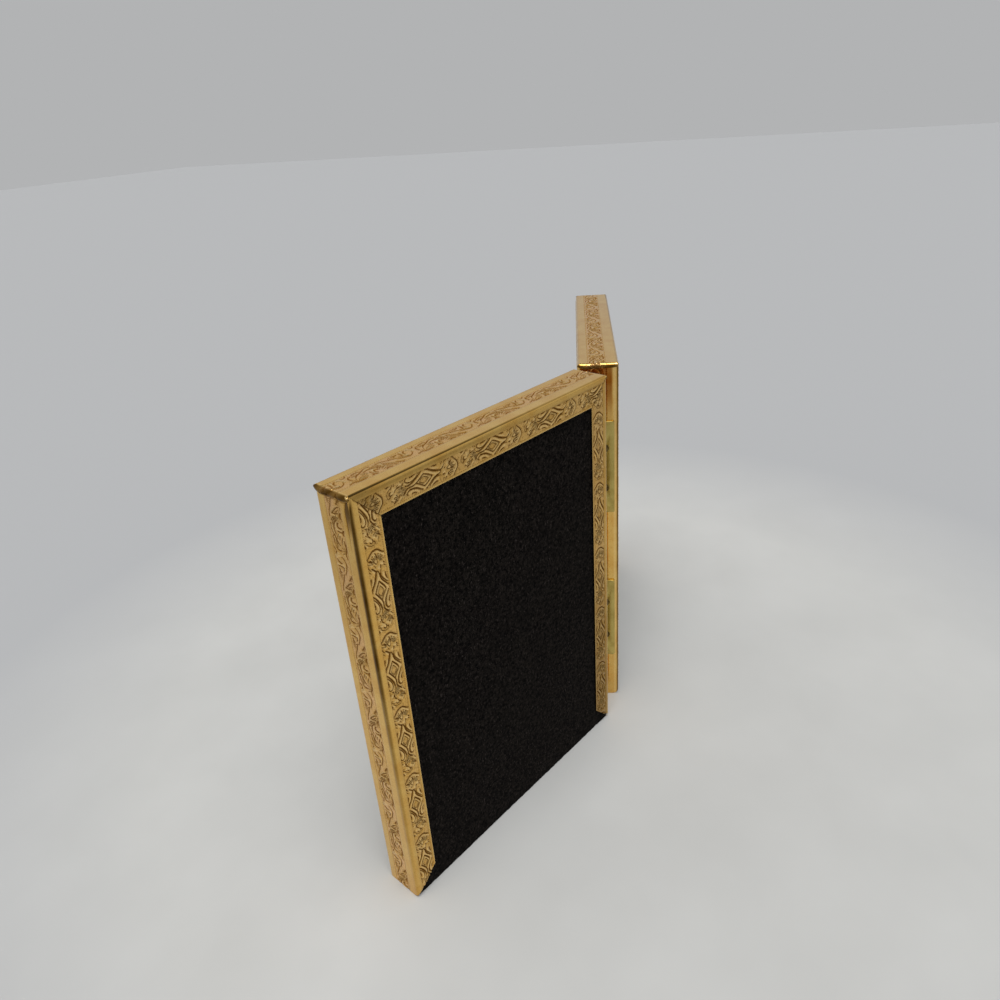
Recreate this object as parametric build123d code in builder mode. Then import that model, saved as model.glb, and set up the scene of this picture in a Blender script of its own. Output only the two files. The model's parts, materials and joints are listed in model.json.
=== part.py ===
from build123d import *

import os
from math import cos, radians, sin

# Hinged double photo frame, in millimetres.
# Two equal leaves of embossed sheet metal channel stand open on a table, joined by two hinges.
# The fronts look towards -Y and the backs towards +Y. +Z is up, and X runs across the pair.
# The origin is on the table, under the middle of the open pair.
# A point of the right leaf is given by x away from the hinge side, y back from the front face and
# z up from the table. The left leaf is the right one's mirror image.

# Leaf
leaf_width = 139.0
leaf_height = 190.0
leaf_depth = 18.5
swing_angle = 18.6

# Sheet metal channel of the rails
sheet = 0.5
front_width = 11.5
front_radius = 1.5
lip_radius = 1.0
lip_depth = 2.2
back_width = 11.2
back_radius = 1.3
seam = 0.1
tab_height = 2.5

# Glass, sheet, pad and back
glass_thickness = 2.0
insert_thickness = 0.3
board_thickness = 2.0
felt_thickness = 0.6
slide_clearance = 0.3
board_side_clearance = 1.0
board_top_clearance = 0.8
board_foot_clearance = 0.4
stack_clearance = 0.5
stack_top_clearance = 2.0

# Hinges
hinge_length = 47.5
hinge_margin = 27.7
plate_thickness = 1.0
plate_back_margin = 2.0
plate_corner = 0.8
knuckle_radius = 2.9
knuckle_count = 5
knuckle_gap = 0.3
wall_gap = 0.4
axis_ahead = 1.0
pin_radius = 1.8
pin_clearance = 0.05
pin_overhang = 0.8
pin_rounding = 0.6

# Rivets
rivet_pitch = 20.6
rivet_edge = 4.7
rivet_radius = 1.2
rivet_clearance = 0.05
rivet_head_radius = 2.2
rivet_head_height = 0.7
rivet_tail_radius = 1.8
rivet_tail_height = 0.5

# Cutting tools reach this far past what they cut
overrun = 1.0

# Depths of the stack, back from the front face
glass_front = lip_depth
insert_front = glass_front + glass_thickness
pad_front = insert_front + insert_thickness
felt_back = leaf_depth - sheet - slide_clearance
felt_front = felt_back - felt_thickness
board_front = felt_front - board_thickness
pad_back = board_front - slide_clearance

# The stack stays clear of the rivets' tails
stack_side = sheet + rivet_tail_height + stack_clearance
board_side = sheet + board_side_clearance

# Hinge places
hinge_feet = {"upper": leaf_height - hinge_margin - hinge_length, "lower": hinge_margin}
hinge_offset = knuckle_radius + wall_gap
knuckle_length = (hinge_length - (knuckle_count - 1) * knuckle_gap) / knuckle_count
plate_front = knuckle_radius + knuckle_gap - axis_ahead
plate_back = leaf_depth - plate_back_margin
rivet_row = plate_back - rivet_edge

# The right leaf's directions, turned forward about the hinge axis
turn = radians(swing_angle)
across = Vector(cos(turn), -sin(turn), 0)
back = Vector(sin(turn), cos(turn), 0)
up = Vector(0, 0, 1)

# The hinge axis stands where the open pair is centred on the origin from front to back
rear_reach = back_radius - back_radius * sin(turn) + (leaf_depth - back_radius) * cos(turn)
front_reach = (front_radius - leaf_width) * sin(turn) + front_radius * cos(turn) - front_radius
hinge_shift = axis_ahead * cos(turn) - hinge_offset * sin(turn)
hinge_y = -(hinge_shift + (rear_reach + front_reach) / 2)


def place(x, y, z):
    """A point of the right leaf in the object's own frame."""
    return Vector(0, hinge_y, 0) + across * (hinge_offset + x) + back * (axis_ahead + y) + up * z


def front_plane(y=0.0):
    """A plain elevation of the leaf at the depth y: x across, z up."""
    return Plane(origin=place(0, y, 0), x_dir=across, z_dir=-back)


def wall_plane(x=0.0):
    """The hinge side's elevation: y back and z up, with its normal into the leaf."""
    return Plane(origin=place(x, 0, 0), x_dir=back, z_dir=across)


def floor_plane(z):
    """The leaf's plan at the height z."""
    return Plane(origin=place(0, 0, z), x_dir=across, z_dir=up)


def skin(inset, back_flange, wall_end):
    """One face of the sheet in section, inset from the outer one: x inwards from the wall, y back."""
    Line((front_width - inset, lip_depth), (front_width - inset, lip_radius))
    CenterArc((front_width - lip_radius, lip_radius), lip_radius - inset, 0, -90)
    Line((front_width - lip_radius, inset), (front_radius, inset))
    CenterArc((front_radius, front_radius), front_radius - inset, -90, -90)
    Line((inset, front_radius), (inset, wall_end))
    if back_flange:
        CenterArc((back_radius, wall_end), back_radius - inset, 180, -90)
        Line((back_radius, leaf_depth - inset), (back_width, leaf_depth - inset))


def channel(start, inward, along, length, back_flange=True):
    """A straight run of the folded sheet, from the corner edge `start`."""
    wall_end = leaf_depth - back_radius if back_flange else pad_back
    with BuildPart() as strip:
        with BuildSketch(Plane(origin=start, x_dir=inward, z_dir=along)):
            with BuildLine():
                skin(0, back_flange, wall_end)
                skin(sheet, back_flange, wall_end)
                Line((front_width, lip_depth), (front_width - sheet, lip_depth))
                if back_flange:
                    Line((back_width, leaf_depth), (back_width, leaf_depth - sheet))
                else:
                    Line((0, wall_end), (sheet, wall_end))
            make_face()
        extrude(amount=length)
    return strip.part


def cut_outline(points):
    """Cuts the outline, drawn on the front elevation, through the whole depth of the leaf."""
    with BuildSketch(front_plane()) as tool:
        Polygon(*points, align=None)
    extrude(tool.sketch, amount=leaf_depth + overrun, both=True, mode=Mode.SUBTRACT)


# Past the flanges' inner edges, for the mitres' tools
reach = max(front_width, back_width) + overrun


def side_rail(start, inward, along, side):
    """A side rail, mitred under the top rail and over the bottom rail; side turns x into depth."""
    blank = channel(start, inward, along, leaf_height)
    wall_top = leaf_height - sheet - seam
    with BuildPart() as rail:
        add(blank)
        cut_outline([
            (side(-overrun), wall_top), (side(sheet), wall_top), (side(reach), leaf_height - seam - reach),
            (side(reach), leaf_height + overrun), (side(-overrun), leaf_height + overrun),
        ])
        cut_outline([
            (side(sheet), -overrun), (side(sheet), sheet), (side(reach), reach), (side(reach), -overrun),
        ])
    return rail.part


def hinge_rail():
    """The hinge side's rail, drilled for the rivets."""
    blank = side_rail(place(0, 0, 0), across, up, lambda depth: depth)
    with BuildPart() as rail:
        add(blank)
        with BuildSketch(wall_plane()) as holes:
            with Locations(*rivet_places()):
                Circle(rivet_radius + rivet_clearance)
        extrude(holes.sketch, amount=sheet + rivet_clearance, both=True, mode=Mode.SUBTRACT)
    return rail.part


def top_rail():
    """The top rail, with a tab at each end folded down over the side rail."""
    blank = channel(place(0, 0, leaf_height), -up, across, leaf_width)
    fold = leaf_height - sheet
    with BuildPart() as rail:
        add(blank)
        for end, out in ((0, 1), (leaf_width, -1)):
            cut_outline([
                (end - out * overrun, fold), (end + out * sheet, fold),
                (end + out * reach, leaf_height - reach), (end - out * overrun, leaf_height - reach),
            ])
            with BuildSketch(front_plane(front_radius)) as tab:
                with BuildLine():
                    Line((end + out * sheet, leaf_height), (end, leaf_height))
                    RadiusArc((end, leaf_height), (end - out * sheet, fold), -out * sheet)
                    Polyline(
                        (end - out * sheet, fold), (end - out * sheet, leaf_height - tab_height),
                        (end, leaf_height - tab_height), (end, fold), (end + out * sheet, fold),
                        (end + out * sheet, leaf_height),
                    )
                make_face()
            extrude(tab.sketch, amount=-(leaf_depth - front_radius - back_radius))
    return rail.part


def bottom_rail():
    """The bottom rail: front face and a floor that ends ahead of the sliding back."""
    blank = channel(place(leaf_width, 0, 0), up, -across, leaf_width, back_flange=False)
    with BuildPart() as rail:
        add(blank)
        for end, out in ((0, 1), (leaf_width, -1)):
            cut_outline([
                (end - out * overrun, -overrun), (end + out * (sheet + seam), -overrun),
                (end + out * (sheet + seam), sheet), (end + out * (reach + seam), reach),
                (end - out * overrun, reach),
            ])
    return rail.part


def slab(side_gap, foot, top, near, far):
    """A flat sheet that fills the leaf between two depths."""
    with BuildPart() as sheet_body:
        with BuildSketch(front_plane(near)):
            with Locations((leaf_width / 2, (foot + top) / 2)):
                Rectangle(leaf_width - 2 * side_gap, top - foot)
        extrude(amount=near - far)
    return sheet_body.part


def rivet_places():
    """Where the four rivets stand on the hinge side's elevation."""
    middles = [foot + hinge_length / 2 for foot in hinge_feet.values()]
    return [(rivet_row, z + half * rivet_pitch / 2) for z in middles for half in (-1, 1)]


def hinge_plate(foot, first_knuckle):
    """One leaf of a hinge: a flat plate on the side wall and every second knuckle on the axis."""
    with BuildPart() as plate:
        with BuildSketch(wall_plane()) as face:
            with Locations(((plate_front + plate_back) / 2, foot + hinge_length / 2)):
                Rectangle(plate_back - plate_front, hinge_length)
            fillet(face.vertices().group_by(Axis.X)[-1], plate_corner)
            with Locations(*rivet_places()):
                Circle(rivet_radius + rivet_clearance, mode=Mode.SUBTRACT)
        extrude(face.sketch, amount=-plate_thickness)
        for count in range(first_knuckle, knuckle_count, 2):
            with BuildSketch(floor_plane(foot + count * (knuckle_length + knuckle_gap))) as knuckle:
                Polygon(
                    (-plate_thickness, -axis_ahead), (-wall_gap, -axis_ahead), (0, 0),
                    (0, plate_front + plate_thickness), (-plate_thickness, plate_front + plate_thickness),
                    align=None,
                )
                with Locations((-hinge_offset, -axis_ahead)):
                    Circle(knuckle_radius)
                    Circle(pin_radius + pin_clearance, mode=Mode.SUBTRACT)
            extrude(knuckle.sketch, amount=knuckle_length)
    return plate.part


def hinge_rivets():
    """Four rivets: a low domed head on the plate, a shank through plate and wall, and a flat tail."""
    with BuildPart() as rivets:
        for depth, height in rivet_places():
            with BuildSketch(Plane(origin=place(0, depth, height), x_dir=across, z_dir=up)) as half:
                with BuildLine():
                    head = -plate_thickness - rivet_head_height
                    tail = sheet + rivet_tail_height
                    Line((tail, 0), (head, 0))
                    TangentArc((head, 0), (-plate_thickness, rivet_head_radius), tangent=(0, 1))
                    Polyline(
                        (-plate_thickness, rivet_head_radius), (-plate_thickness, rivet_radius),
                        (sheet, rivet_radius), (sheet, rivet_tail_radius), (tail, rivet_tail_radius), (tail, 0),
                    )
                make_face()
            revolve(half.sketch, axis=Axis(place(0, depth, height), across))
    return rivets.part


def hinge_pin(foot):
    """A pin through the knuckles, rounded at both ends."""
    with BuildPart() as pin:
        with BuildSketch(Plane(origin=(0, hinge_y, foot - pin_overhang), z_dir=up)):
            Circle(pin_radius)
        extrude(amount=hinge_length + 2 * pin_overhang)
        fillet(pin.edges().filter_by(GeomType.CIRCLE), pin_rounding)
    return pin.part


def save(body, name):
    body.label = name
    export_step(body, f"parts/{name}.step")


# Pieces that both leaves have, made as the right leaf's
stack_foot = sheet
stack_top = leaf_height - sheet - stack_top_clearance
board_top = leaf_height - sheet - board_top_clearance
outer_start = place(leaf_width, 0, leaf_height)

pieces = {
    "top_rail": top_rail(),
    "outer_rail": side_rail(outer_start, -across, -up, lambda depth: leaf_width - depth),
    "hinge_rail": hinge_rail(),
    "bottom_rail": bottom_rail(),
    "glass": slab(stack_side, stack_foot, stack_top, glass_front, insert_front),
    "photo_insert": slab(stack_side, stack_foot, stack_top, insert_front, pad_front),
    "filler_pad": slab(stack_side, stack_foot, stack_top, pad_front, pad_back),
    "back_board": slab(board_side, board_foot_clearance, board_top, board_front, felt_front),
    "back_felt": slab(board_side, board_foot_clearance, board_top, felt_front, felt_back),
    "hinge_rivets": hinge_rivets(),
}

os.makedirs("parts", exist_ok=True)

for name, piece in pieces.items():
    save(piece, f"right_{name}")
    with BuildPart() as left_piece:
        mirror(piece, about=Plane.YZ)
    save(left_piece.part, f"left_{name}")

for level, foot in hinge_feet.items():
    save(hinge_plate(foot, 0), f"right_{level}_hinge_plate")
    odd_knuckles = hinge_plate(foot, 1)
    with BuildPart() as left_plate:
        mirror(odd_knuckles, about=Plane.YZ)
    save(left_plate.part, f"left_{level}_hinge_plate")
    save(hinge_pin(foot), f"{level}_hinge_pin")
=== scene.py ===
import json
from math import radians
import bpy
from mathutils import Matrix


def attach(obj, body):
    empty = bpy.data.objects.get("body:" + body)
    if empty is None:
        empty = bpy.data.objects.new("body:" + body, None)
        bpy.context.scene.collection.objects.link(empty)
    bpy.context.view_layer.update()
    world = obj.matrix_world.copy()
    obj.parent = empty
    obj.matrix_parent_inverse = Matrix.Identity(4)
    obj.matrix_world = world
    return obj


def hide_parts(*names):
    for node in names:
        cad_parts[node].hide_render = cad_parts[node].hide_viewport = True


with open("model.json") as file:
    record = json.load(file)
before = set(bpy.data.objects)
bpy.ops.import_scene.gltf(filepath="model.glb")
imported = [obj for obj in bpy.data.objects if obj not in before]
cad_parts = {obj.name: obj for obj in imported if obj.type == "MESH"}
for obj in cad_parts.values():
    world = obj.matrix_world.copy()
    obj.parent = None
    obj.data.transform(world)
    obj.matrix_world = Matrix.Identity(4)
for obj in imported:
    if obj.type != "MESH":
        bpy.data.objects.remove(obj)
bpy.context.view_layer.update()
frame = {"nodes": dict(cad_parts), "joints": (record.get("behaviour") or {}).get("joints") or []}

from types import SimpleNamespace

import bpy
import numpy as np
from mathutils import Matrix, Vector

# A hinged double photo frame of embossed gold-tone sheet metal, seen from behind.
# Sizes are in millimetres here and become metres where a mesh is made.
# A point of the right leaf is given by x away from the hinge side, y back from the front face and
# z up from the table. The left leaf is the right one's mirror image.

MM = 0.001
rng = np.random.default_rng(7)

# Leaf and rails, as the solids have them
leaf_width = 139.0
leaf_height = 190.0
leaf_depth = 18.5
hinge_offset = 3.3
axis_ahead = 1.0
sheet = 0.5
seam = 0.1
front_width = 11.5
front_radius = 1.5
lip_radius = 1.0
lip_depth = 2.2
back_width = 11.2
back_radius = 1.3
floor_depth = 14.8
board_foot = 0.4
board_side = 1.5
board_top = 188.7
felt_front = 17.1
felt_back = 17.7

fold = next(joint for joint in frame["joints"] if joint["name"] == "fold")
swing = radians((180 - fold["range_deg"][1]) / 2)
axis_place = np.array(fold["pos_m"]) / MM
axis_foot = axis_place * (1, 1, 0)
ACROSS = np.array([np.cos(swing), -np.sin(swing), 0])
BACK = np.array([np.sin(swing), np.cos(swing), 0])
UP = np.array([0.0, 0, 1])
LEAF_AXES = np.stack([ACROSS, BACK, UP])


def place(points):
    """Points of the right leaf, in the object's own frame and in metres."""
    return (axis_foot + (points + (hinge_offset, axis_ahead, 0)) @ LEAF_AXES) * MM


# Work on meshes

def take(piece):
    """Makes the piece the only selected object."""
    if bpy.context.object and bpy.context.object.mode != "OBJECT":
        bpy.ops.object.mode_set(mode="OBJECT")
    bpy.ops.object.select_all(action="DESELECT")
    piece.select_set(True)
    bpy.context.view_layer.objects.active = piece


def edit(piece, *steps, faces=None):
    """Runs edit-mode operators, given as (operator, settings), on all of the piece or on some faces."""
    take(piece)
    mesh = piece.data
    if faces is not None:
        for domain in (mesh.vertices, mesh.edges):
            domain.foreach_set("select", np.zeros(len(domain), bool))
        mesh.polygons.foreach_set("select", faces)
    bpy.ops.object.mode_set(mode="EDIT")
    bpy.ops.mesh.select_mode(type="FACE")
    if faces is None:
        bpy.ops.mesh.select_all(action="SELECT")
    for step, settings in steps:
        step(**settings)
    bpy.ops.object.mode_set(mode="OBJECT")


def apply(piece, kind, **settings):
    """Adds a modifier and applies it."""
    take(piece)
    modifier = piece.modifiers.new(kind.title(), kind)
    for name, value in settings.items():
        setattr(modifier, name, value)
    bpy.ops.object.modifier_apply(modifier=modifier.name)


def read(items, name, kind=float, width=1):
    """One property of all the items of a mesh, as an array with so many numbers for each."""
    values = np.empty(len(items) * width, kind)
    items.foreach_get(name, values)
    return values.reshape(-1, width) if width > 1 else values


def store(mesh, name, kind, domain, values):
    """Keeps an array on the mesh as an attribute."""
    field = "vector" if kind == "FLOAT_VECTOR" else "value"
    mesh.attributes.new(name, kind, domain).data.foreach_set(field, values.ravel())


def take_off(mesh, *names):
    """Takes attributes off the mesh that only the work on it needed."""
    for name in names:
        mesh.attributes.remove(mesh.attributes[name])


def flat_grid(name, across, upward):
    """A flat grid of so many cells, and how far each point is along both ways, from 0 to 1."""
    bpy.ops.mesh.primitive_grid_add(x_subdivisions=across, y_subdivisions=upward, size=2)
    piece = bpy.context.object
    piece.name = piece.data.name = name
    return piece, (read(piece.data.vertices, "co", width=3) + 1) / 2


# Colours and materials

def colour(code):
    """An sRGB hex value as linear red, green, blue and alpha."""
    parts = [int(code[i:i + 2], 16) / 255 for i in (1, 3, 5)]
    return [c / 12.92 if c <= 0.04045 else ((c + 0.055) / 1.055) ** 2.4 for c in parts] + [1.0]


def node(tree, kind, inputs=(), output=0, **settings):
    """Adds a node with its settings and links, and gives one of its outputs.

    Inputs go by name or number, or in the sockets' order. Each is a value or another node's output.
    """
    made = tree.nodes.new("ShaderNode" + kind)
    for name, value in settings.items():
        setattr(made, name, value)
    for socket, value in inputs.items() if isinstance(inputs, dict) else enumerate(inputs):
        if isinstance(value, bpy.types.NodeSocket):
            tree.links.new(value, made.inputs[socket])
        else:
            made.inputs[socket].default_value = value
    return made.outputs[output]


def new_material(name, settings):
    """A material with one surface shader, whose sockets are set by name, and its tree."""
    made = bpy.data.materials.new(name)
    made.use_nodes = True
    surface = made.node_tree.nodes["Principled BSDF"]
    for socket, value in settings.items():
        surface.inputs[socket].default_value = value
    return made, made.node_tree, surface


def wire(shader, outputs):
    """Links other nodes' outputs to the shader's sockets."""
    for socket, output in outputs.items():
        shader.id_data.links.new(output, shader.inputs[socket])


def coated(tree, ground, *coats):
    """Coats of colour over a ground, each laid on by its own share; a colour may be an sRGB hex value."""
    for share, tint in coats:
        under, over = (colour(value) if isinstance(value, str) else value for value in (ground, tint))
        ground = node(tree, "Mix", {0: share, 6: under, 7: over}, 2, data_type="RGBA")
    return ground


def grain(tree, size, detail=3.0, roughness=0.5, stretch=(1, 1, 1)):
    """A noise whose lumps are about the given size in millimetres, fixed to the piece."""
    where = node(tree, "TexCoord", output="Object")
    spread = node(tree, "Mapping", {"Vector": where, "Scale": stretch})
    scale = 1 / (size * MM)
    noise = {"Vector": spread, "Scale": scale, "Detail": detail, "Roughness": roughness}
    return node(tree, "TexNoise", noise, "Fac")


def gilt_sheet():
    """Thin brass sheet, rolled with a pattern and gold-lacquered: satin, with brown stain left in the lines.

    The rails carry five attributes. Recess says where the pattern is cut and stained, and also carries
    painted shade beside the outer crease and painted shade and shadow on and under the tabs. Crest says where
    the pattern is raised, and also where highlights are painted. Band says whether a point is in the
    pattern's strip, and on which face. Bend is painted shade, on bends, creases, tabs and darker stretches of
    the flanges, and the fifth attribute is where an amber reflection of the other leaf's hinge wall is
    painted in.
    """
    made, tree, surface = new_material("gilt_embossed_sheet", {"Specular IOR Level": 0.0})
    recess, crest, band, bend, lacquer = (
        node(tree, "Attribute", output="Fac", attribute_name=name)
        for name in ("recess", "crest", "band", "bend", "lacquer"))
    cloud = grain(tree, 9.0, detail=4.0, roughness=0.6)
    speck = grain(tree, 0.9, detail=2.0)

    yellow = node(tree, "MapRange", (cloud, 0.35, 0.65))
    # The sheet's own pits are finer than a tenth of a millimetre, and are drawn coarser so that they show
    pitted = node(tree, "MapRange", (grain(tree, 0.5, detail=2.0), 0.52, 0.72, 0.0, 0.5))
    rosy = node(tree, "MapRange", (cloud, 0.42, 0.62, 0.15, 0.75))
    rosy = node(tree, "Math", (band, rosy), operation="MULTIPLY")
    # An amber reflection of the other leaf's hinge wall, painted in where the rails mark it
    amber = node(tree, "MapRange", (cloud, 0.3, 0.7, 1.0, 0.75))
    amber = node(tree, "Math", (lacquer, amber), operation="MULTIPLY")
    # Painted highlights: on the ridge tops, the back flange's edge, a line on the hinge wall, the tab bends
    # and dots
    painted_highlight = node(tree, "MapRange", (speck, 0.3, 0.7, 0.5, 0.9))
    painted_highlight = node(tree, "Math", (crest, painted_highlight), operation="MULTIPLY")

    # Flecks of stain lie between the lines too, fewer of them on the walls
    in_band = node(tree, "MapRange", (band, 0.0, 0.2))
    fewer = node(tree, "MapRange", (band, 0.3, 0.6, 0.6, 0.2))
    flecked = node(tree, "MapRange", (grain(tree, 0.8), 0.55, 0.68))
    fleck = node(tree, "Math", (in_band, fewer), operation="MULTIPLY")
    fleck = node(tree, "Math", (fleck, flecked), operation="MULTIPLY")
    fleck = node(tree, "Math", (fleck, crest), operation="SUBTRACT")
    # The stain also carries the painted shade and shadow that the rails lay into recess
    stain = node(tree, "Math", (recess, fleck), operation="MAXIMUM")
    thinner = node(tree, "MapRange", (band, 0.3, 0.6, 0.95, 0.9))
    stain = node(tree, "Math", (stain, thinner), operation="MULTIPLY")
    on_wall = node(tree, "MapRange", (band, 0.3, 0.6))
    stain_brown = coated(tree, "#5E3806", (on_wall, "#6E420E"))
    # Painted shade, where the rails mark bend: on bends, creases, tabs and darker stretches of the flanges
    painted_shade = node(tree, "MapRange", (cloud, 0.3, 0.7, 1.0, 0.85))
    painted_shade = node(tree, "Math", (bend, painted_shade), operation="MULTIPLY")

    # The stain is matt and no metal, so it is rougher too
    satin = node(tree, "MapRange", (speck, 0.25, 0.75, 0.13, 0.21))
    matt = node(tree, "Math", (stain, 0.4), operation="MULTIPLY")
    wire(surface, {
        "Base Color": coated(
            tree, "#E2B05A", (yellow, "#EDC36F"), (pitted, "#B98A3C"), (rosy, "#E8AF84"), (amber, "#98520A"),
            (painted_highlight, "#FFDC96"), (stain, stain_brown), (painted_shade, "#4E340A")),
        "Roughness": node(tree, "Math", (satin, matt), operation="ADD"),
        "Metallic": node(tree, "Math", (1.0, stain), operation="SUBTRACT"),
        "Normal": node(tree, "Bump", {"Height": grain(tree, 0.55), "Distance": 0.011 * MM}),
    })
    return made


def plate_brass():
    """Yellow brass strip, rolled and tumbled: greener than the gilt, a soft gloss with fine rubbing.

    The rubbing is drawn coarser than it is, so that it shows.
    """
    made, tree, surface = new_material("hinge_strip_brass", {"Metallic": 1.0})
    worn = node(tree, "MapRange", (grain(tree, 5.0, detail=4.0), 0.35, 0.7))
    rubbing = grain(tree, 0.35, stretch=(1, 1, 0.12))
    wire(surface, {
        "Base Color": coated(tree, "#C9B468", (worn, "#B59E55")),
        "Roughness": node(tree, "MapRange", (grain(tree, 0.6), 0.3, 0.7, 0.26, 0.40)),
        "Normal": node(tree, "Bump", {"Height": rubbing, "Distance": 0.008 * MM}),
    })
    return made


def rivet_metal():
    """Brass rivets darkened by age: brown, with bare metal showing where the dome is rubbed."""
    made, tree, surface = new_material("aged_rivet_brass", {"Metallic": 1.0})
    cloud = grain(tree, 1.2, detail=4.0)
    wear_and_highlight = node(tree, "MapRange", (cloud, 0.4, 0.72))
    wire(surface, {
        "Base Color": coated(tree, "#4A3A1C", (wear_and_highlight, "#7F6A38")),
        "Roughness": node(tree, "MapRange", (cloud, 0.3, 0.7, 0.5, 0.36)),
        "Normal": node(tree, "Bump", {"Height": grain(tree, 0.4), "Distance": 0.02 * MM}),
    })
    return made


def float_glass():
    """Thin soda-lime sheet glass: clear, with sharp reflections and a faint green edge.

    Its alpha lets light straight through to the paper behind, which would be dark otherwise.
    """
    made, tree, surface = new_material("sheet_glass", {
        "Base Color": colour("#F4FAF7"), "IOR": 1.52, "Transmission Weight": 1.0, "Alpha": 0.3,
    })
    wire(surface, {"Roughness": node(tree, "MapRange", (grain(tree, 30.0), 0.3, 0.7, 0.01, 0.03))})
    return made


def insert_paper():
    """Smooth uncoated paper, warm white, with the faint cloudiness of its fibres."""
    made, tree, surface = new_material("uncoated_paper", {"Roughness": 0.85, "Specular IOR Level": 0.3})
    cloudy = node(tree, "MapRange", (grain(tree, 1.5, detail=5.0), 0.3, 0.7))
    wire(surface, {
        "Base Color": coated(tree, "#E9E4D8", (cloudy, "#F1EDE3")),
        "Normal": node(tree, "Bump", {"Height": grain(tree, 0.3, detail=4.0), "Distance": 0.02 * MM}),
    })
    return made


def grey_card():
    """Recycled pulp board: grey-brown, matt, flecked with darker fibres."""
    made, tree, surface = new_material("pulp_card", {"Roughness": 0.95, "Specular IOR Level": 0.2})
    fleck = node(tree, "MapRange", (grain(tree, 0.7, detail=6.0, roughness=0.7), 0.55, 0.7))
    cloudy = node(tree, "MapRange", (grain(tree, 12.0), 0.3, 0.7))
    wire(surface, {
        "Base Color": coated(tree, "#A08D70", (cloudy, "#B09D80"), (fleck, "#7C6A50")),
        "Normal": node(tree, "Bump", {"Height": grain(tree, 0.5, detail=5.0), "Distance": 0.04 * MM}),
    })
    return made


def hardboard():
    """Pressed wood fibre board: dark brown, matt, with short matted fibres."""
    made, tree, surface = new_material("pressed_hardboard", {"Roughness": 0.8, "Specular IOR Level": 0.3})
    fibre = grain(tree, 0.6, detail=6.0, roughness=0.7, stretch=(1, 1, 0.35))
    pale = node(tree, "MapRange", (fibre, 0.35, 0.65))
    wire(surface, {
        "Base Color": coated(tree, "#4E3420", (pale, "#6B4A30")),
        "Normal": node(tree, "Bump", {"Height": fibre, "Distance": 0.05 * MM}),
    })
    return made


def black_felt():
    """Pressed wool felt, dyed black: matt, deep, with grey fibres lying every way across it.

    Wool fibres are a few hundredths of a millimetre thick. The nap and the lint on it are drawn coarser than
    that, so that they show.
    """
    made, tree, surface = new_material("black_wool_felt", {
        "Roughness": 1.0, "Specular IOR Level": 0.03, "Sheen Weight": 0.01, "Sheen Roughness": 0.5,
    })
    nap = grain(tree, 1.5, detail=7.0, roughness=0.85)
    fibres = node(tree, "MapRange", (nap, 0.44, 0.66))
    dusky = node(tree, "MapRange", (grain(tree, 14.0), 0.35, 0.7, 0.0, 0.35))
    lint = node(tree, "MapRange", (grain(tree, 0.6, stretch=(1, 1, 0.45)), 0.61, 0.71))
    wire(surface, {
        "Base Color": coated(tree, "#000000", (fibres, "#2C2723"), (dusky, "#0A0807"), (lint, "#393330")),
        "Normal": node(tree, "Bump", {"Height": nap, "Distance": 0.3 * MM}),
    })
    return made


# The rolled pattern. Each stroke is its width and then its middle line. The first number of a place
# runs along the strip from the repeat's own start and the second one across it.

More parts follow.
